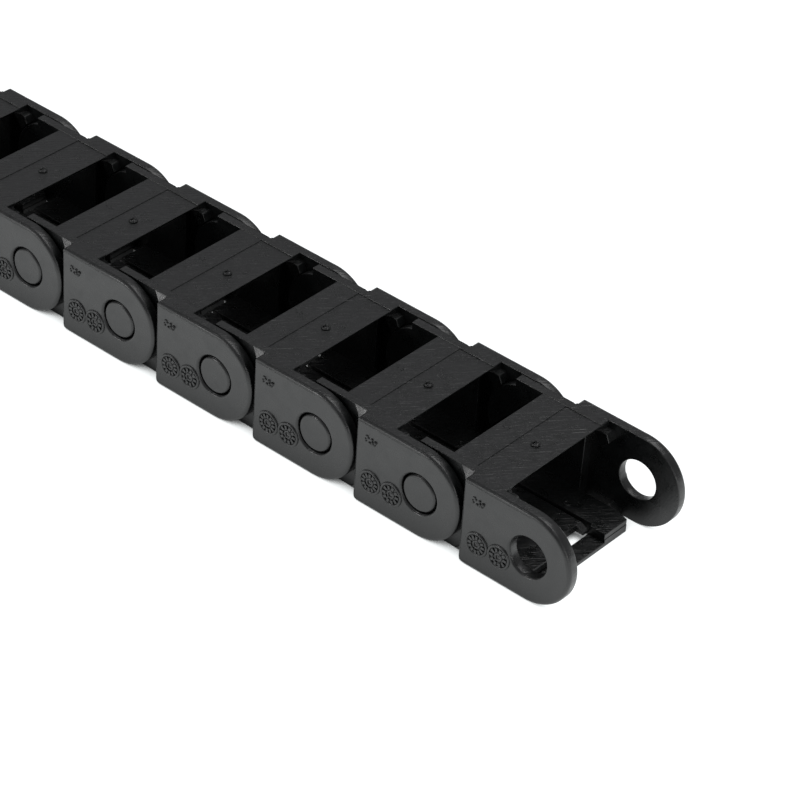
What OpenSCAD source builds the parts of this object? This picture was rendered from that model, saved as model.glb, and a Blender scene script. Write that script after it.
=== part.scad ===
// Cable drag chain with a slit underside, made of one-piece moulded links that snap together.
// Every link is the same moulding: an open fork at one end, a narrower tongue with two round
// pins at the other, a solid crossbar on top and a slit crossbar below. The chain lies straight,
// its fork end towards +X, its underside on z = 0 and its middle over the origin.

/* [Chain] */
// Number of links in this length of chain
links = 14; // [3:1:14]
// Distance from one pivot to the next
pitch = 20; // [19:0.5:24]
// Radius through the pivots when every joint is at its bend stop
bend_r = 48; // [44:1:90]

/* [Link] */
// Height of a link over its side plates
link_h = 15; // [14:0.5:16]
// Clear width of the cable channel
channel_w = 20; // [14:1:40]
// Thickness of each outer (fork) plate
fork_t = 1.8; // [1.4:0.1:2.4]
// Thickness of each inner (tongue) plate
tongue_t = 1.4; // [1.1:0.1:2]
// Running gap beside a tongue, towards the fork plate and towards the bars
side_gap = 0.3; // [0.15:0.05:0.5]
// Gap between the round end of a fork and the step of the next link
step_gap = 0.5; // [0.2:0.1:0.8]
// How far the gusset in the corner of the step stands out from the tongue
gusset_w = 0.9; // [0.5:0.1:1.4]
// How far down the gusset's sloped top reaches
gusset_drop = 1.6; // [1:0.1:2.4]
// Gap between the gusset and the round end of the next link's fork
gusset_gap = 1.8; // [0.8:0.1:2.4]
// Rounding along the outer edge of the fork plates
edge_r = 0.6; // [0.3:0.1:1]
// Rounding of the upright edge at the square end of a fork plate
back_edge_r = 0.3; // [0.2:0.1:1]
// Rounding of the lower corner at the square end of a fork plate
foot_r = 1.3; // [0.6:0.1:2.5]
// Rounding of the upper corner there
head_r = 0.5; // [0.3:0.1:1.5]

/* [Pivots] */
// Radius of the round pins
pin_r = 3.15; // [2.4:0.05:3.6]
// Radial clearance between a pin and its hole
pin_fit = 0.06; // [0.02:0.01:0.1]
// How far a pin's end face sits below the face of the fork plate
pin_recess = 0.1; // [0:0.05:0.3]
// Width of the bevel round the pin's end and round the hole's mouth
mouth_bevel = 0.3; // [0.1:0.05:0.4]
// How much smaller the tongue's round end is than half the link's height
tongue_drop = 0.9; // [0.6:0.1:1.4]

/* [Stops] */
// How far the tongue's square shoulders reach past the pin's axis
shoulder = 2; // [1.4:0.1:2.6]
// Gap left at a stop when a joint is at its limit
stop_gap = 0.05; // [0.02:0.01:0.1]
// Gap between the tongue's shoulders and the wall of the pocket they swing in
pocket_gap = 0.9; // [0.4:0.1:1.2]
// Angle that each stop lug covers
lug_angle = 16; // [10:1:24]

/* [Top bar] */
// Thickness of the solid bar
top_t = 1.2; // [1:0.1:2]
// From the tongue's pin axis to the bar
top_back = 3; // [2.4:0.1:4]
// From the fork's hole axis to the bar
top_front = 6.1; // [5:0.1:7.5]
// Height of the low steps where the parts of the mould met on the bar
witness_h = 0.08; // [0.04:0.02:0.14]
// Place of the step across the bar, from the fork's hole axis
witness_x = 12.6; // [10:0.1:14]

/* [Slit bar] */
// Thickness of the slit bar
floor_t = 2.2; // [1.8:0.1:3]
// How far the slit bar reaches past the fork's hole axis
floor_front = 0.9; // [0.4:0.1:1.4]
// Gap between the slit bars of two neighbouring links
floor_gap = 1.7; // [1.4:0.1:3]
// Length of the angled cut at the bar's front corners
corner_l = 2.4; // [1.5:0.1:3.2]
// Width of that cut
corner_w = 0.7; // [0.4:0.1:2]
// Depth of the front lip, from its front edge to the slit
lip_d = 3.1; // [2.4:0.1:4]
// Thickness of the springy part of the front lip
lip_t = 0.75; // [0.6:0.05:0.9]
// Height of the step where the parts of the mould met on the front lip
lip_step_z = 1.3; // [1.1:0.1:1.5]
// Width of the cross part of the slit
slit_w = 1.3; // [0.8:0.1:1.8]
// Width of the part of the slit that runs to the back
slit_back_w = 0.6; // [0.4:0.1:1]
// Height under the back lip, which lies over the springy part
lip_clear = 1.05; // [1:0.05:1.3]
// Place of the hook's outer face, from the middle of the channel
hook_y = 4; // [2:0.5:6]
// Width of the hook at the end of the cross part of the slit
hook_w = 1.3; // [1:0.1:2]
// How far the hook reaches over the slit
hook_d = 1.4; // [0.8:0.1:1.8]
// How far the cover at the other end reaches over the slit
cover_d = 2.1; // [1.6:0.1:2.4]
// Width of the slit that stays open between hook and cover, and a little beside them
cover_y = 5.5; // [4:0.5:7]

/* [Hidden] */
$fn = 64;
// A cut runs past the face that it opens by this much
over = 1;
half_h = link_h / 2;
half_w = channel_w / 2 + tongue_t + side_gap + fork_t;
tongue_in = channel_w / 2;
tongue_out = tongue_in + tongue_t;
fork_in = tongue_out + side_gap;
hole_r = pin_r + pin_fit;
tongue_r = half_h - tongue_drop;
pin_x = -pitch;
step_x = pin_x + half_h + step_gap;
gusset_clear_r = half_h + gusset_gap;
pocket_r = norm([shoulder, half_h]) + pocket_gap;
pocket_y = tongue_in - side_gap / 2;
bend = 2 * asin(pitch / 2 / bend_r);
floor_back = floor_front + floor_gap;
slit_front = floor_front - lip_d;
slit_back = slit_front - slit_w;
chain_l = links * pitch + half_h + tongue_r;
first_x = chain_l / 2 - half_h;

function link_name(i) = str("link_", i < 10 ? "0" : "", i);

// Cylinder across the chain, about the pivot axis at x, from y0 to y1.
module cross_cylinder(x, r, y0, y1) {
    translate([x, y0, half_h])
        rotate([-90, 0, 0])
            cylinder(r = r, h = y1 - y0);
}

// Block from one corner to the opposite one.
module block(a, b) {
    translate(a)
        cube(b - a);
}

// Half the section of a fork plate: square inside at y = 0, its outer edge rounded at reach.
module plate_section(reach) {
    square([reach - edge_r, fork_t]);
    square([reach, fork_t - edge_r]);
    translate([reach - edge_r, fork_t - edge_r])
        circle(r = edge_r);
}

// Outline that the fork plate's square end keeps, seen from the side.
module plate_outline() {
    translate([step_x + foot_r, foot_r])
        circle(r = foot_r);
    translate([step_x + head_r, link_h - head_r])
        circle(r = head_r);
    translate([step_x + max(foot_r, head_r), 0])
        square([-step_x, link_h]);
    translate([step_x, foot_r])
        square([foot_r + head_r, link_h - foot_r - head_r]);
    translate([step_x + head_r, link_h / 2])
        square([foot_r, link_h / 2]);
}

// Outline of the same plate seen from above, with the upright edge rounded.
module plate_plan() {
    translate([step_x + back_edge_r, half_w - back_edge_r])
        circle(r = back_edge_r);
    translate([step_x + back_edge_r, fork_in])
        square([-step_x, fork_t]);
    translate([step_x, fork_in])
        square([back_edge_r, fork_t - back_edge_r]);
}

// Outer plate with the pivot hole: a round end joined to a straight bar of the same section.
module fork_plate() {
    translate([0, fork_in, half_h])
        rotate([-90, 0, 0])
            rotate_extrude()
                plate_section(half_h);
    intersection() {
        translate([0, fork_in, half_h])
            rotate([0, -90, 0])
                linear_extrude(height = -step_x)
                    union() {
                        plate_section(half_h);
                        mirror([1, 0])
                            plate_section(half_h);
                    }
        translate([0, half_w + over, 0])
            rotate([90, 0, 0])
                linear_extrude(height = fork_t + 2 * over)
                    plate_outline();
        linear_extrude(height = link_h)
            plate_plan();
    }
}

// Gusset between tongue and fork plate, cut away where the next link's fork turns.
module gusset() {
    difference() {
        translate([pin_x, 0, 0])
            rotate([90, 0, 90])
                linear_extrude(height = step_x + back_edge_r - pin_x)
                    polygon([
                        [tongue_in, 0],
                        [tongue_out, 0],
                        [tongue_out + gusset_w, gusset_drop],
                        [tongue_out + gusset_w, link_h - gusset_drop],
                        [tongue_out, link_h],
                        [tongue_in, link_h]
                    ]);
        cross_cylinder(pin_x, gusset_clear_r, 0, half_w);
    }
}

// Inner plate: round end about the pin, with square shoulders above and below it.
module tongue_plate() {
    cross_cylinder(pin_x, tongue_r, tongue_in, tongue_out);
    block([pin_x - shoulder, tongue_in, 0], [step_x, tongue_out, link_h]);
    block([step_x, tongue_in, 0], [-top_front, fork_in, link_h]);
}

// Pin with a bevelled end.
module pin() {
    length = half_w - pin_recess - tongue_in;
    translate([pin_x, tongue_in, half_h])
        rotate([-90, 0, 0])
            union() {
                cylinder(r = pin_r, h = length - mouth_bevel);
                translate([0, 0, length - mouth_bevel])
                    cylinder(r1 = pin_r, r2 = pin_r - mouth_bevel, h = mouth_bevel);
            }
}

// Space that the neighbour's tongue swings in, under the solid bar and in front of it.
module pocket() {
    block([-pocket_r, pocket_y, -over], [half_h + over, fork_in, link_h - top_t]);
    block([-top_front, pocket_y, -over], [half_h + over, fork_in, link_h + over]);
}

// Part of the pocket's rim that stops a shoulder whose face stands at this angle.
module lug(angle, upper) {
    side = upper ? 1 : -1;
    intersection() {
        difference() {
            cross_cylinder(0, pocket_r + over, tongue_in, half_w - edge_r);
            cross_cylinder(0, tongue_r + side_gap / 2, 0, half_w);
        }
        translate([0, 0, half_h])
            rotate([0, -angle, 0])
                translate([-shoulder - stop_gap - pitch, 0, -half_h * 2])
                    cube([pitch, half_w, half_h * 4]);
        translate([0, 0, half_h])
            rotate([0, -angle - side * lug_angle, 0])
                translate([-shoulder, 0, upper ? 0 : -half_h * 2])
                    cube([pitch, half_w, half_h * 2]);
        block([-pitch, 0, 0], [0, half_w, link_h - top_t]);
    }
}

// Hole with a bevelled mouth.
module pivot_hole() {
    cross_cylinder(0, hole_r, fork_in - over, half_w + over);
    translate([0, half_w - mouth_bevel, half_h])
        rotate([-90, 0, 0])
            cylinder(r1 = hole_r, r2 = hole_r + 2 * mouth_bevel, h = 2 * mouth_bevel);
}

// One side wall of a link, on the +Y side.
module side_wall() {
    difference() {
        union() {
            fork_plate();
            gusset();
            tongue_plate();
        }
        pocket();
        pivot_hole();
    }
    lug(bend, true);
    lug(0, false);
    pin();
}

// Solid bar on the inside of the bend, with the low steps that the mould leaves.
module top_bar() {
    bar_x = pin_x + top_back;
    z0 = link_h - top_t;
    block([bar_x, -tongue_in, z0], [-witness_x, tongue_in, link_h - witness_h]);
    block([-witness_x - over, -tongue_in, z0], [-top_front, tongue_in, link_h - 2 * witness_h]);
}

// Plan of the slit bar, before the slit.
module floor_plan() {
    wide = tongue_in;
    narrow = pocket_y;
    neck_x = -pocket_r;
    polygon([
        [pin_x + floor_back, -wide],
        [neck_x, -wide],
        [neck_x, -narrow],
        [floor_front - corner_l, -narrow],
        [floor_front, -narrow + corner_w],
        [floor_front, narrow - corner_w],
        [floor_front - corner_l, narrow],
        [neck_x, narrow],
        [neck_x, wide],
        [pin_x + floor_back, wide]
    ]);
}

// Wedge under the back lip's edge that reaches over the slit and keeps it shut.
module hook() {
    translate([slit_back, hook_y, 0])
        rotate([90, 0, 0])
            linear_extrude(height = hook_w)
                polygon([
                    [-over, lip_clear],
                    [hook_d, lip_clear],
                    [hook_d, lip_clear + 0.4],
                    [0, floor_t],
                    [-over, floor_t]
                ]);
}

// Bar on the outside of the bend, with the slit that lets a cable be pushed in. The springy
// strip in front bends down, and the back lip lies over it, so that no cable slips out.
module slit_bar() {
    step_x1 = floor_front - witness_h;
    difference() {
        linear_extrude(height = floor_t)
            floor_plan();
        block([slit_back, -channel_w, -over], [slit_front, hook_y + slit_back_w, floor_t + over]);
        block([-2 * pitch, hook_y, -over], [slit_front, hook_y + slit_back_w, floor_t + over]);
        block([slit_back - hook_d, -channel_w, -over], [slit_front, hook_y, lip_clear]);
        block([slit_front - over, -channel_w, lip_t], [pitch, hook_y, floor_t + over]);
        block([step_x1, -channel_w, lip_step_z], [pitch, channel_w, floor_t + over]);
    }
    hook();
    block([slit_back - over, -pocket_y, lip_clear], [slit_back + cover_d, -cover_y, floor_t]);
}

module link() {
    color("dimgray") {
        side_wall();
        mirror([0, 1, 0])
            side_wall();
        top_bar();
        slit_bar();
    }
}

for (i = [1:links])
    translate([first_x - (i - 1) * pitch, 0, 0])
            link();
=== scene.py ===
# %% [markdown]
# # A cable drag chain in black nylon
# A drag chain guides cables to a part of a machine that moves to and fro. It is a row of identical
# box-shaped links. Each link is one moulding: an open fork with two holes at one end, a narrower
# tongue with two round pins at the other, a solid bar on top and a slit bar below. The pins snap
# into the next link's holes, and that is all that holds the chain together.
#
# The solids come from the frame that was modelled before this lesson. Here they get
# the look of real mouldings: broken edges, a spark-eroded skin and the marks that a mould leaves.

# %% Load the frame
import math

import bmesh
import bpy
from mathutils import Matrix, Vector


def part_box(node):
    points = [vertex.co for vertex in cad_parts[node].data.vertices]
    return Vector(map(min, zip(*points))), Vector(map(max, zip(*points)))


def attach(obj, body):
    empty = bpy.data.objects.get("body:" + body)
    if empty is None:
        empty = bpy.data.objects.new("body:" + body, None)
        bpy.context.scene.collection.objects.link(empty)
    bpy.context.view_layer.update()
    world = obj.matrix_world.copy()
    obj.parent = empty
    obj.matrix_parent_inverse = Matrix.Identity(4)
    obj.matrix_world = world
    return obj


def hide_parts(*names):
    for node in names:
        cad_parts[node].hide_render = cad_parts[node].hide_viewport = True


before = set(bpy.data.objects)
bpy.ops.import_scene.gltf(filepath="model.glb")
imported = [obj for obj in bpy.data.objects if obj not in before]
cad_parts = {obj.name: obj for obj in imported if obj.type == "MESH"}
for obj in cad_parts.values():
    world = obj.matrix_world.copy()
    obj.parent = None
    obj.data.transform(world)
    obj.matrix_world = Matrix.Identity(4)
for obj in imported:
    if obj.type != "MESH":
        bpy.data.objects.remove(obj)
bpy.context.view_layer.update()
MM = 0.001

# %% [markdown]
# ## Sizes
# Every place in this lesson is worked out from the frame, so that nothing has to be fitted by
# eye. The first link's box gives the height and the width, and two neighbours give the pitch.
# The pivots lie half a height in from the round ends of the forks.

# %% Sizes from the frame
link_names = sorted(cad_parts)
low, high = (Vector(corner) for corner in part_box(link_names[0]))
pitch = high.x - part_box(link_names[1])[1][0]
height = high.z - low.z
width = high.y - low.y
fork_pivot = Vector((high.x - height / 2, 0.0, height / 2))
print("Pitch, height and width in mm:", [round(size / MM, 2) for size in (pitch, height, width)])

# %% [markdown]
# ## Helpers for node trees
# Colours are written as sRGB hex values, the way a paint chart gives them, and one function turns
# them to the linear values that Blender works with. One more function adds a node to a tree,
# sets it and links its inputs, and both the materials and the Geometry Nodes use it.

# %% Colour and node helpers
def linear(hex_colour):
    """An sRGB hex value as linear RGBA."""
    channels = [int(hex_colour[i:i + 2], 16) / 255 for i in (1, 3, 5)]
    return [c / 12.92 if c <= 0.04045 else ((c + 0.055) / 1.055) ** 2.4 for c in channels] + [1.0]


def add(tree, kind, inputs=None, **settings):
    """Adds a node, applies its settings, and links or sets its inputs by name or index."""
    node = tree.nodes.new(kind)
    for name, value in settings.items():
        setattr(node, name, value)
    for key, value in (inputs or {}).items():
        if isinstance(value, bpy.types.NodeSocket):
            tree.links.new(value, node.inputs[key])
        else:
            node.inputs[key].default_value = value
    return node


def math_node(tree, operation, *values):
    """The result of a sum on sockets or numbers."""
    return add(tree, "ShaderNodeMath", dict(enumerate(values)), operation=operation).outputs[0]


print("Middle grey in linear light:", [round(c, 3) for c in linear("#808080")[:3]])

# %% [markdown]
# ## The finish: black glass-filled nylon
# The links are moulded in polyamide with glass fibre, coloured through with carbon black. The mould
# is spark eroded, which leaves a fine matt grain on every face, about a tenth of a millimetre from
# peak to peak. Where the melt ran over the bars the fibres leave faint slanted streaks, which show
# on the faces that look up. A stretched noise makes the streaks, a fine one the grain, and a coarse
# one the slow change of tone and sheen over a link. To the eye it is a soft, slightly silky black.

# %% Nylon material
NYLON_IOR = 1.6
GRAIN_MM = 0.14  # a little coarser than the real grain, so that it shows
STREAK_MM = 0.3
STREAK_STRETCH = (12.0, 1.0, 4.0)
STREAK_DEPTH = 4.5  # times the depth of the grain
STREAK_TURN = math.radians(-50)
STREAK_FROM_Z = 0.8  # how far a face has to look up before it has streaks
CLOUD_MM = 2.2
CLOUD_RANGE = (0.3, 0.7)  # values between which most of the noise lies
SHEEN_CHANGE = 0.08
RELIEF_MM, RELIEF_STRENGTH = 0.03, 0.8


def noise(tree, place, size_mm, stretch=(1.0, 1.0, 1.0), detail=2.0):
    """Noise whose features are about size_mm across, drawn out along an axis by its stretch."""
    scale = [1.0 / (size_mm * MM * s) for s in stretch]
    mapped = add(tree, "ShaderNodeMapping", {"Vector": place, "Scale": scale})
    return add(tree, "ShaderNodeTexNoise",
               {"Vector": mapped.outputs[0], "Scale": 1.0, "Detail": detail}).outputs["Fac"]


def moulded_nylon(name, dark, light, rough):
    """Matt moulded nylon between two tones, with grain and flow streaks in its relief."""
    material = bpy.data.materials.new(name)
    material.use_nodes = True
    tree = material.node_tree
    tree.nodes.clear()
    given = add(tree, "ShaderNodeTexCoord").outputs
    place = given["Object"]
    upward = add(tree, "ShaderNodeSeparateXYZ", {0: given["Normal"]}).outputs["Z"]
    on_top = add(tree, "ShaderNodeMapRange", {0: upward, 1: STREAK_FROM_Z, 2: 1.0}).outputs[0]
    grain = noise(tree, place, GRAIN_MM, detail=1.0)
    slanted = add(tree, "ShaderNodeMapping", {"Vector": place, "Rotation": (0.0, 0.0, STREAK_TURN)})
    streak = noise(tree, slanted.outputs[0], STREAK_MM, stretch=STREAK_STRETCH, detail=3.0)
    cloud = noise(tree, place, CLOUD_MM)
    tone = add(tree, "ShaderNodeMix", {0: cloud, 6: linear(dark), 7: linear(light)}, data_type="RGBA")
    flow = math_node(tree, "MULTIPLY", math_node(tree, "MULTIPLY", streak, on_top), STREAK_DEPTH)
    relief = math_node(tree, "ADD", grain, flow)
    bump = add(tree, "ShaderNodeBump",
               {"Height": relief, "Strength": RELIEF_STRENGTH, "Distance": RELIEF_MM * MM})
    sheen = add(tree, "ShaderNodeMapRange", {0: cloud, 1: CLOUD_RANGE[0], 2: CLOUD_RANGE[1],
                                             3: rough - SHEEN_CHANGE, 4: rough + SHEEN_CHANGE})
    shader = add(tree, "ShaderNodeBsdfPrincipled", {
        "Base Color": tone.outputs[2], "Roughness": sheen.outputs[0], "IOR": NYLON_IOR,
        "Normal": bump.outputs[0]})
    add(tree, "ShaderNodeOutputMaterial", {"Surface": shader.outputs[0]})
    return material


nylon = moulded_nylon("Glass-filled nylon, spark-eroded mould", "#0b0d0d", "#101212", 0.32)
print("Made the material", nylon.name)

# %% [markdown]
# ## One dressed link
# The CAD mesh is loose triangles with knife-sharp edges. No moulding has such edges, and it is
# the bright line along a broken edge that makes plastic look real. So a copy is merged, its flat
# faces are joined, and a small bevel rounds each outer edge. Next to a low step there is less room,
# so there the bevel's weight goes down with the narrowest face beside the edge.
#
# Two small changes of shape come before the bevel. The pins shrink and the holes grow by a hair,
# which shows the dark ring between them, and the front end of the solid bar slopes back from
# below, so that it ends in a thin edge.

# %% Ring between pin and hole
HOLE_GROWS_MM, PIN_SHRINKS_MM = 0.05, 0.1
SIDE_GAP_Y_MM = 11.45  # in the gap between tongue and fork, outside which pins and holes lie
PIVOT_ZONE_MM = (2.7, 3.55)  # distances from the pivot that take in a pin's and a hole's edge


def open_pin_gap(work):
    """Shrinks the pins and widens the holes a little, so that a dark ring shows between them."""
    nearest, farthest = (distance * MM for distance in PIVOT_ZONE_MM)
    outside = [vert for vert in work.verts if abs(vert.co.y) > SIDE_GAP_Y_MM * MM]
    for pivot_x, change in ((fork_pivot.x, HOLE_GROWS_MM), (fork_pivot.x - pitch, -PIN_SHRINKS_MM)):
        for vert in outside:
            arm = Vector((vert.co.x - pivot_x, 0.0, vert.co.z - fork_pivot.z))
            if nearest < arm.length < farthest:
                vert.co += arm.normalized() * change * MM


print("A hole grows and a pin shrinks by, in mm:", HOLE_GROWS_MM, PIN_SHRINKS_MM)

# %% Thin front end of the solid bar
BAR_FRONT_MM = 6.1  # from the fork's pivot back to the front end of the solid bar
NOSE_MM, NOSE_SIDE_MM = 0.9, 0.4  # how far its underside slopes back, and what stays at its sides
CLOSE_MM = 0.01


def undercut_bar_nose(work):
    """Slopes the solid bar's front end back from below, so that only a thin edge of it shows."""
    nose_x = fork_pivot.x - BAR_FRONT_MM * MM
    edges = [edge for edge in work.edges if edge.calc_length() > width / 2
             and all(abs(vert.co.x - nose_x) < CLOSE_MM * MM for vert in edge.verts)]
    cuts = []
    for edge in edges:
        for side in (-1, 1):
            start = max(edge.verts, key=lambda vert: side * vert.co.y)
            part, cut = bmesh.utils.edge_split(edge, start, NOSE_SIDE_MM * MM / edge.calc_length())
            edge = max((edge, part), key=lambda piece: piece.calc_length())
            cuts.append(cut)
    for side in (-1, 1):
        bmesh.ops.connect_vert_pair(work, verts=[cut for cut in cuts if side * cut.co.y > 0])
    bottom = min(cut.co.z for cut in cuts)
    for cut in cuts:
        if cut.co.z < bottom + CLOSE_MM * MM:
            cut.co.x -= NOSE_MM * MM


print("The bar's underside slopes back by, in mm:", NOSE_MM)

# %% Room for a broken edge
EDGE_MM = 0.13
EDGE_SHARE = 0.4  # of the room beside an edge that its bevel may take
SHARP_ANGLE = math.radians(25)


def room_beside(edge, face):
    """How far the face reaches from the edge."""
    start, along = edge.verts[0].co, (edge.verts[1].co - edge.verts[0].co).normalized()
    reach = [(vert.co - start).cross(along).length for vert in face.verts]
    return max(reach)


def weight_outer_edges(work):
    """Gives every sharp outer edge a bevel weight that fits the room beside it."""
    layer = work.edges.layers.float.new("bevel_weight_edge")
    for edge in work.edges:
        if len(edge.link_faces) == 2 and edge.calc_face_angle_signed() > SHARP_ANGLE:
            room = min(room_beside(edge, face) for face in edge.link_faces)
            edge[layer] = min(1.0, EDGE_SHARE * room / (EDGE_MM * MM))


print("Edges are broken by, in mm:", EDGE_MM)

# %% Dress the first link
MERGE_MM = 0.002
FLAT_ANGLE = math.radians(0.3)


def merged_copy(node, name):
    """A new object with the node's mesh, merged, with its small changes and its bevel weights."""
    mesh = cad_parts[node].data.copy()
    mesh.name = name
    work = bmesh.new()
    work.from_mesh(mesh)
    bmesh.ops.remove_doubles(work, verts=work.verts, dist=MERGE_MM * MM)
    bmesh.ops.dissolve_limit(work, angle_limit=FLAT_ANGLE, verts=work.verts, edges=work.edges)
    open_pin_gap(work)
    undercut_bar_nose(work)
    weight_outer_edges(work)
    work.to_mesh(mesh)
    work.free()
    piece = bpy.data.objects.new(name, mesh)
    bpy.context.scene.collection.objects.link(piece)
    return piece


def evaluated_mesh(piece, name):
    """The piece's mesh with its modifiers applied, as new data."""
    graph = bpy.context.evaluated_depsgraph_get()
    mesh = bpy.data.meshes.new_from_object(piece.evaluated_get(graph), preserve_all_data_layers=True,
                                           depsgraph=graph)
    mesh.name = name
    return mesh


dressed = merged_copy(link_names[0], "dressed_link")
bevel = dressed.modifiers.new("Broken edges", "BEVEL")
bevel.width = EDGE_MM * MM
bevel.segments = 2
bevel.limit_method = "WEIGHT"
bevel.use_clamp_overlap = False
bevel.harden_normals = True
link_mesh = evaluated_mesh(dressed, "dressed_link_mesh")
link_mesh.materials.clear()
dressed.modifiers.clear()
dressed.data = link_mesh
print("Triangles in one link:", sum(len(face.vertices) - 2 for face in link_mesh.polygons))

# %% [markdown]
# ## Marks that the mould leaves
# A moulding shows how it was made. The gate where the melt came in leaves a ring on the bar,
# ejector pins leave faint prints, and the seams of the mould leave a thin line of flash. On each
# side stand a pair of date wheels with plain ticks and a group of pips that tells the cavity. Each
# kind is a small Geometry Nodes tree with named inputs, so the mark is easily made again in other
# sizes.

# %% Geometry Nodes helpers
def tree_with(name, **inputs):
    """A geometry tree with a geometry input and output and named inputs of the given kinds."""
    tree = bpy.data.node_groups.new(name, "GeometryNodeTree")
    tree.interface.new_socket("Geometry", in_out="INPUT", socket_type="NodeSocketGeometry")
    for label, kind in inputs.items():
        tree.interface.new_socket(label, in_out="INPUT", socket_type="NodeSocket" + kind)
    tree.interface.new_socket("Geometry", in_out="OUTPUT", socket_type="NodeSocketGeometry")
    return tree, add(tree, "NodeGroupInput").outputs


def close_tree(tree, geometry, finish):
    """Ends a tree: real geometry, with its finish."""
    real = add(tree, "GeometryNodeRealizeInstances", {"Geometry": geometry})
    done = add(tree, "GeometryNodeSetMaterial", {"Geometry": real.outputs[0], "Material": finish})
    add(tree, "NodeGroupOutput", {"Geometry": done.outputs[0]})


def made_by(tree, mesh, name, **values):
    """A plain mesh that the tree makes from a mesh and the values given by label."""
    piece = bpy.data.objects.new(name, mesh)
    bpy.context.scene.collection.objects.link(piece)
    modifier = piece.modifiers.new(name, "NODES")
    modifier.node_group = tree
    for item in tree.interface.items_tree:
        if item.in_out == "INPUT" and item.name in values:
            modifier[item.identifier] = values[item.name]
    result = evaluated_mesh(piece, name)
    bpy.data.objects.remove(piece)
    return result


print("Trees so far:", len(bpy.data.node_groups))

# %% Tree: ticks in a circle
ticks_tree, given = tree_with("Ticks in a circle", Count="Int", Radius="Float", Length="Float",
                              Thickness="Float", Finish="Material")
spots = add(ticks_tree, "GeometryNodeMeshCircle", {"Vertices": given["Count"], "Radius": given["Radius"]})
size = add(ticks_tree, "ShaderNodeCombineXYZ",
           {"X": given["Length"], "Y": given["Thickness"], "Z": given["Thickness"]})
tick = add(ticks_tree, "GeometryNodeMeshCube", {"Size": size.outputs[0]})
outward = add(ticks_tree, "FunctionNodeAlignRotationToVector",
              {"Vector": add(ticks_tree, "GeometryNodeInputPosition").outputs[0]}, axis="X")
placed = add(ticks_tree, "GeometryNodeInstanceOnPoints",
             {"Points": spots.outputs[0], "Instance": tick.outputs[0], "Rotation": outward.outputs[0]})
close_tree(ticks_tree, placed.outputs[0], given["Finish"])
print("Nodes in the ticks tree:", len(ticks_tree.nodes))

# %% Tree: raised ring
RING_WAVES_PER_M = 900.0
RING_NOISE_RANGE = (0.3, 0.7)
ring_tree, given = tree_with("Raised ring", Radius="Float", Thickness="Float", Wobble="Float",
                             Seed="Float", Finish="Material")
loop = add(ring_tree, "GeometryNodeCurvePrimitiveCircle", {"Resolution": 40, "Radius": given["Radius"]})
uneven = add(ring_tree, "ShaderNodeTexNoise", {"W": given["Seed"], "Scale": RING_WAVES_PER_M},
             noise_dimensions="4D")
swell = add(ring_tree, "ShaderNodeMapRange", {0: uneven.outputs["Fac"], 1: RING_NOISE_RANGE[0],
                                              2: RING_NOISE_RANGE[1], 4: given["Wobble"]})
shift = add(ring_tree, "ShaderNodeCombineXYZ", {"Z": swell.outputs[0]})
bent = add(ring_tree, "GeometryNodeSetPosition", {"Geometry": loop.outputs[0], "Offset": shift.outputs[0]})
profile = add(ring_tree, "GeometryNodeCurvePrimitiveCircle",
              {"Resolution": 8, "Radius": given["Thickness"]})
solid = add(ring_tree, "GeometryNodeCurveToMesh",
            {"Curve": bent.outputs[0], "Profile Curve": profile.outputs[0]})
close_tree(ring_tree, solid.outputs[0], given["Finish"])
print("Nodes in the ring tree:", len(ring_tree.nodes))

# %% Tree: line of flash
FLASH_WAVES_PER_M = 700.0
FLASH_NOISE_RANGE = (0.35, 0.65)
THINNEST_FLASH = 0.45  # of the full thickness
flash_tree, given = tree_with("Line of flash", Length="Float", Thickness="Float", Seed="Float",
                              Finish="Material")
end = add(flash_tree, "ShaderNodeCombineXYZ", {"X": given["Length"]})
seam = add(flash_tree, "GeometryNodeCurvePrimitiveLine", {"End": end.outputs[0]})
fine = add(flash_tree, "GeometryNodeResampleCurve", {"Curve": seam.outputs[0], "Count": 60})
uneven = add(flash_tree, "ShaderNodeTexNoise", {"W": given["Seed"], "Scale": FLASH_WAVES_PER_M},
             noise_dimensions="4D")
swell = add(flash_tree, "ShaderNodeMapRange", {0: uneven.outputs["Fac"], 1: FLASH_NOISE_RANGE[0],
                                               2: FLASH_NOISE_RANGE[1], 3: THINNEST_FLASH, 4: 1.0})
girth = add(flash_tree, "GeometryNodeSetCurveRadius",
            {"Curve": fine.outputs[0], "Radius": swell.outputs[0]})
profile = add(flash_tree, "GeometryNodeCurvePrimitiveCircle",
              {"Resolution": 6, "Radius": given["Thickness"]})
solid = add(flash_tree, "GeometryNodeCurveToMesh",
            {"Curve": girth.outputs[0], "Profile Curve": profile.outputs[0], "Fill Caps": True})
close_tree(flash_tree, solid.outputs[0], given["Finish"])
print("Nodes in the flash tree:", len(flash_tree.nodes))

# %% Tree: scattered pips
ASIDE_SEED = 50.0  # added to the seed, so that the two directions are drawn apart
SMALLEST_PIP, LARGEST_PIP = 0.5, 1.2  # times the pip's radius


def draw_between(tree, lowest, highest, seed):
    """A random number for each point."""
    limits = {2: lowest, 3: highest, 8: seed}
    return add(tree, "FunctionNodeRandomValue", limits, data_type="FLOAT").outputs[1]


def draw_within(tree, reach, seed):
    """A random number for each point, up to the reach to either side of zero."""
    return draw_between(tree, math_node(tree, "MULTIPLY", reach, -1.0), reach, seed)


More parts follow.
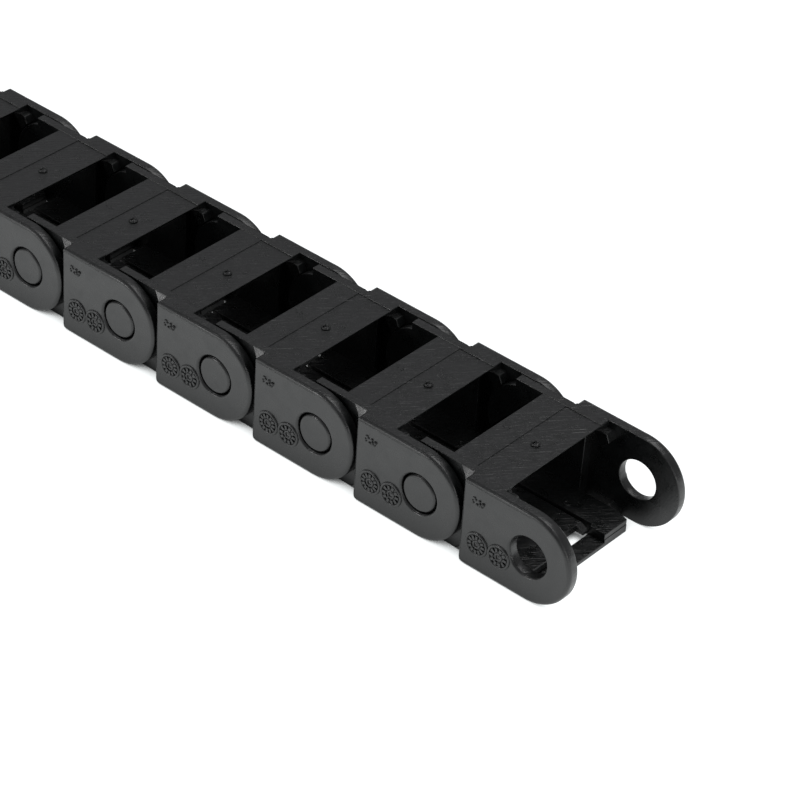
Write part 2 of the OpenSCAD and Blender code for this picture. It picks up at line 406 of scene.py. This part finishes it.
pips_tree, given = tree_with("Scattered pips", Count="Int", Spread="Float", Side="Float", Pip="Float",
                             Seed="Int", Finish="Material")
along = draw_within(pips_tree, given["Spread"], given["Seed"])
aside = draw_within(pips_tree, given["Side"], math_node(pips_tree, "ADD", given["Seed"], ASIDE_SEED))
spot = add(pips_tree, "ShaderNodeCombineXYZ", {"X": along, "Y": aside})
spots = add(pips_tree, "GeometryNodePoints", {"Count": given["Count"], "Position": spot.outputs[0]})
pip = add(pips_tree, "GeometryNodeMeshIcoSphere", {"Radius": given["Pip"], "Subdivisions": 2})
girth = draw_between(pips_tree, SMALLEST_PIP, LARGEST_PIP, given["Seed"])
placed = add(pips_tree, "GeometryNodeInstanceOnPoints",
             {"Points": spots.outputs[0], "Instance": pip.outputs[0], "Scale": girth})
close_tree(pips_tree, placed.outputs[0], given["Finish"])
print("Nodes in the pips tree:", len(pips_tree.nodes))

# %% Put a mark on the link
SIDE_MM, TOP_MM = width / 2 / MM, height / MM
marks = bmesh.new()


def place_on(face, x, across, up):
    """Frame at a spot given in mm from the fork's pivot: on top, on the floor or on a side."""
    spot = Vector((fork_pivot.x + x * MM, across * MM, up * MM))
    turn = {"up": 0.0, "near": 90.0, "far": -90.0}[face]
    return Matrix.Translation(spot) @ Matrix.Rotation(math.radians(turn), 4, "X")


def mark(tree, name, frame_at, **values):
    """Makes a mark with a tree and adds it to the link's marks at its place."""
    empty = bpy.data.meshes.new(name)
    mesh = made_by(tree, empty, name, Finish=nylon, **values)
    mesh.transform(frame_at)
    marks.from_mesh(mesh)


print("A side and the top stand at, in mm:", round(SIDE_MM, 2), round(TOP_MM, 2))

# %% Marks on the sides
WHEELS = ((-8.9, 12), (-4.9, 10))  # place along the link in mm, and number of ticks
WHEEL_UP_MM, WHEEL_R_MM, WHEEL_LINE_MM = 4.8, 1.8, 0.24
TICK_R_MM, TICK_L_MM, TICK_T_MM = 1.2, 0.6, 0.4
HUB_R_MM, HUB_LINE_MM = 0.55, 0.2


def date_wheel(at, ticks):
    """A plain date wheel, without figures: a rim, ticks, a hub and a hand."""
    mark(ring_tree, "wheel_rim", at, Radius=WHEEL_R_MM * MM, Thickness=WHEEL_LINE_MM * MM, Wobble=0.0,
         Seed=1.0)
    mark(ticks_tree, "wheel_ticks", at, Count=ticks, Radius=TICK_R_MM * MM, Length=TICK_L_MM * MM,
         Thickness=TICK_T_MM * MM)
    mark(ring_tree, "wheel_hub", at, Radius=HUB_R_MM * MM, Thickness=HUB_LINE_MM * MM, Wobble=0.0,
         Seed=2.0)
    mark(flash_tree, "wheel_hand", at, Length=HUB_R_MM * MM, Thickness=HUB_LINE_MM * MM, Seed=3.0)


def side_marks(face, outward):
    """The wheels, the pips and the seams of one side. Outward is -1 on the near side and 1 on the far."""
    across = outward * SIDE_MM
    for x, ticks in WHEELS:
        date_wheel(place_on(face, x, across, WHEEL_UP_MM), ticks)
    mark(pips_tree, "cavity_pips", place_on(face, x=-9.4, across=across, up=12.1), Count=16,
         Spread=1.1 * MM, Side=0.6 * MM, Pip=0.26 * MM, Seed=4)
    plate_edge = place_on("up", x=-11.6, across=across - outward * 0.02, up=TOP_MM - 0.62)
    mark(flash_tree, "plate_seam", plate_edge, Length=11.4 * MM, Thickness=0.06 * MM, Seed=5.0)
    tongue_edge = place_on("up", x=-21.9, across=across - outward * 2.13, up=TOP_MM - 0.04)
    mark(flash_tree, "tongue_seam", tongue_edge, Length=9.6 * MM, Thickness=0.055 * MM, Seed=6.0)


side_marks("near", -1)
side_marks("far", 1)
print("Corners in the side marks:", len(marks.verts))

# %% Marks on the bars
GATE_X_MM, GATE_ACROSS_MM, GATE_UP_MM = -10.0, -0.3, TOP_MM - 0.1


def bar_marks():
    """The gate with its stub and smear, and the ejector prints on the bars."""
    gate = place_on("up", GATE_X_MM, GATE_ACROSS_MM, GATE_UP_MM)
    mark(ring_tree, "gate_ring", gate, Radius=0.55 * MM, Thickness=0.17 * MM, Wobble=0.12 * MM, Seed=7.0)
    mark(pips_tree, "gate_stub", gate, Count=7, Spread=0.3 * MM, Side=0.3 * MM, Pip=0.22 * MM, Seed=8)
    mark(pips_tree, "ejector_print", place_on("up", x=-15.7, across=0.0, up=TOP_MM - 0.09), Count=14,
         Spread=0.8 * MM, Side=0.5 * MM, Pip=0.1 * MM, Seed=9)
    mark(pips_tree, "gate_smear", place_on("up", x=-8.6, across=1.4, up=TOP_MM - 0.18), Count=9,
         Spread=0.5 * MM, Side=1.3 * MM, Pip=0.09 * MM, Seed=11)
    mark(ring_tree, "floor_print", place_on("up", x=-7.6, across=5.8, up=2.2), Radius=0.5 * MM,
         Thickness=0.07 * MM, Wobble=0.04 * MM, Seed=10.0)


bar_marks()
print("Corners in all marks:", len(marks.verts))

# %% Join the marks to the link
whole = bmesh.new()
whole.from_mesh(link_mesh)
marks_mesh = bpy.data.meshes.new("marks")
marks.to_mesh(marks_mesh)
whole.from_mesh(marks_mesh)
whole.to_mesh(link_mesh)
whole.free()
marks.free()
print("Triangles in one link with its marks:", sum(len(face.vertices) - 2 for face in link_mesh.polygons))

# %% [markdown]
# ## The chain, one link at a time
# All links come out of one mould, so one dressed mesh is enough. A small Geometry Nodes tree
# moves it along the chain by a whole number of pitches and gives it its finish. Each link becomes
# a plain mesh of its own, because each one has to turn with its own body.

# %% Geometry Nodes that place a link
place_tree, given = tree_with("Link at its place", Pitch="Float", Number="Int", Finish="Material")
steps_back = math_node(place_tree, "MULTIPLY", given["Number"], -1.0)
back = math_node(place_tree, "MULTIPLY", given["Pitch"], steps_back)
offset = add(place_tree, "ShaderNodeCombineXYZ", {"X": back})
as_instance = add(place_tree, "GeometryNodeGeometryToInstance", {"Geometry": given["Geometry"]})
moved = add(place_tree, "GeometryNodeTranslateInstances",
            {"Instances": as_instance.outputs[0], "Translation": offset.outputs[0]})
close_tree(place_tree, moved.outputs[0], given["Finish"])
print("Nodes in the tree:", len(place_tree.nodes))

# %% Place every link
def shown_link(number, name):
    """The dressed link at its place in the chain, as a plain mesh that rides on its body."""
    mesh = made_by(place_tree, link_mesh, name + "_mesh", Pitch=pitch, Number=number, Finish=nylon)
    piece = bpy.data.objects.new(name + "_moulding", mesh)
    bpy.context.scene.collection.objects.link(piece)
    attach(piece, name)
    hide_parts(name)
    return piece


mouldings = [shown_link(number, name) for number, name in enumerate(link_names)]
bpy.data.objects.remove(dressed)
print("Links shown:", len(mouldings))

# %% [markdown]
# ## Floor, light and camera
# The chain lies on a white table, which shows white to the camera and in reflections and still
# takes a soft shadow. The near sides of the links mirror the table and the tops mirror a darker
# room, and that difference is what shapes the black plastic, so the world is a plain mid grey. The
# key lamp stands low in front of the near sides: light from higher up bounces off the table into
# the links and greys their inside. A weak lamp stands off the fork end, and a large soft one hangs
# over the chain.

# %% Floor
FLOOR_SIDE_M = 6.0
SHADE_REACH = 1.3  # how far round a spot the sky is looked at, in heights of the chain
HIDDEN_FLOOR = 0.1  # share of open sky at which the table no longer glows
OPEN_FLOOR, MIRRORED_FLOOR = 0.3, 0.82  # share at which it glows in full, as seen and as mirrored


def white_floor():
    """Matt white table that also glows white for the camera and in glossy reflections.

    Under the chain the table lies in the dark, so there its glow goes down with the open sky. This is
    painted shade, and in reflections it reaches further out from the chain than for the camera.
    """
    material = bpy.data.materials.new("Matt white laminate")
    material.use_nodes = True
    tree = material.node_tree
    tree.nodes.clear()
    path = add(tree, "ShaderNodeLightPath").outputs
    sky = add(tree, "ShaderNodeAmbientOcclusion", {"Distance": height * SHADE_REACH},
              samples=8).outputs["AO"]
    # Painted shade: the table's glow is cut down where the chain hides the sky, over a wider reach for
    # glossy rays than for the camera.
    clear = add(tree, "ShaderNodeMapRange", {0: sky, 1: HIDDEN_FLOOR, 2: OPEN_FLOOR}).outputs[0]
    dimmed = add(tree, "ShaderNodeMapRange", {0: sky, 1: HIDDEN_FLOOR, 2: MIRRORED_FLOOR}).outputs[0]
    seen = math_node(tree, "MAXIMUM", path["Is Camera Ray"], path["Is Transmission Ray"])
    seen = math_node(tree, "MULTIPLY", seen, clear)
    mirrored = math_node(tree, "MULTIPLY", path["Is Glossy Ray"], dimmed)
    glow = math_node(tree, "MAXIMUM", seen, mirrored)
    matt = add(tree, "ShaderNodeBsdfDiffuse", {"Color": linear("#a8a8a8")})
    shine = add(tree, "ShaderNodeEmission", {"Color": linear("#fafdfd"), "Strength": glow})
    both = add(tree, "ShaderNodeAddShader", {0: matt.outputs[0], 1: shine.outputs[0]})
    add(tree, "ShaderNodeOutputMaterial", {"Surface": both.outputs[0]})
    return material


bpy.ops.mesh.primitive_plane_add(size=FLOOR_SIDE_M, location=(0.0, 0.0, 0.0))
floor = bpy.context.object
floor.name = "floor"
floor.data.materials.append(white_floor())
print("Floor side in metres:", floor.dimensions.x)

# %% World and lamps
def lamp(name, place, aim, side, power):
    """Square soft lamp that looks from place to aim. Lengths are in metres and the power in watts."""
    data = bpy.data.lights.new(name, "AREA")
    data.shape = "SQUARE"
    data.size = side
    data.energy = power
    item = bpy.data.objects.new(name, data)
    item.location = place
    item.rotation_euler = (Vector(aim) - Vector(place)).to_track_quat("-Z", "Y").to_euler()
    bpy.context.scene.collection.objects.link(item)


world = bpy.data.worlds.new("Grey room")
bpy.context.scene.world = world
world.use_nodes = True
world.node_tree.nodes.clear()
path = add(world.node_tree, "ShaderNodeLightPath")
room = add(world.node_tree, "ShaderNodeBackground", {"Color": linear("#98989a"), "Strength": 1.0})
white = add(world.node_tree, "ShaderNodeBackground", {"Color": (1, 1, 1, 1), "Strength": 1.0})
both = add(world.node_tree, "ShaderNodeMixShader",
           {0: path.outputs["Is Camera Ray"], 1: room.outputs[0], 2: white.outputs[0]})
add(world.node_tree, "ShaderNodeOutputWorld", {"Surface": both.outputs[0]})
aim = (fork_pivot.x - 2 * pitch, 0.0, height / 2)
lamp("key", (aim[0] - 0.7, -1.12, 0.41), aim, side=0.35, power=3.0)
lamp("side", (aim[0] + 1.3, -0.3, 0.35), aim, side=0.35, power=1.5)
lamp("top", (aim[0] + 0.2, 0.3, 1.5), aim, side=0.9, power=8.0)

# %% [markdown]
# ## Camera
# A long lens from well above the open fork end keeps the sides of the chain almost parallel. The
# camera looks along the chain, so the near fork stands large in front and the far links run off.

# %% Camera
CAMERA_FROM_PIVOT_MM = (197.06, -293.70, 274.31)
LOOK = Vector((-0.50155, 0.63411, -0.58852))
RIGHT = Vector((0.75400, 0.65394, 0.06203))
LENS_MM, SENSOR_MM = 142.08, 36.0

data = bpy.data.cameras.new("camera")
data.sensor_width = SENSOR_MM
data.lens = LENS_MM
data.clip_start = 0.01
camera = bpy.data.objects.new("camera", data)
bpy.context.scene.collection.objects.link(camera)
bpy.context.scene.camera = camera
up = RIGHT.cross(LOOK)
turn = Matrix((RIGHT, up, -LOOK)).transposed().to_4x4()
camera.matrix_world = Matrix.Translation(fork_pivot + Vector(CAMERA_FROM_PIVOT_MM) * MM) @ turn
bpy.context.scene.view_settings.view_transform = "Standard"
print("Camera at", [round(c, 3) for c in camera.location])
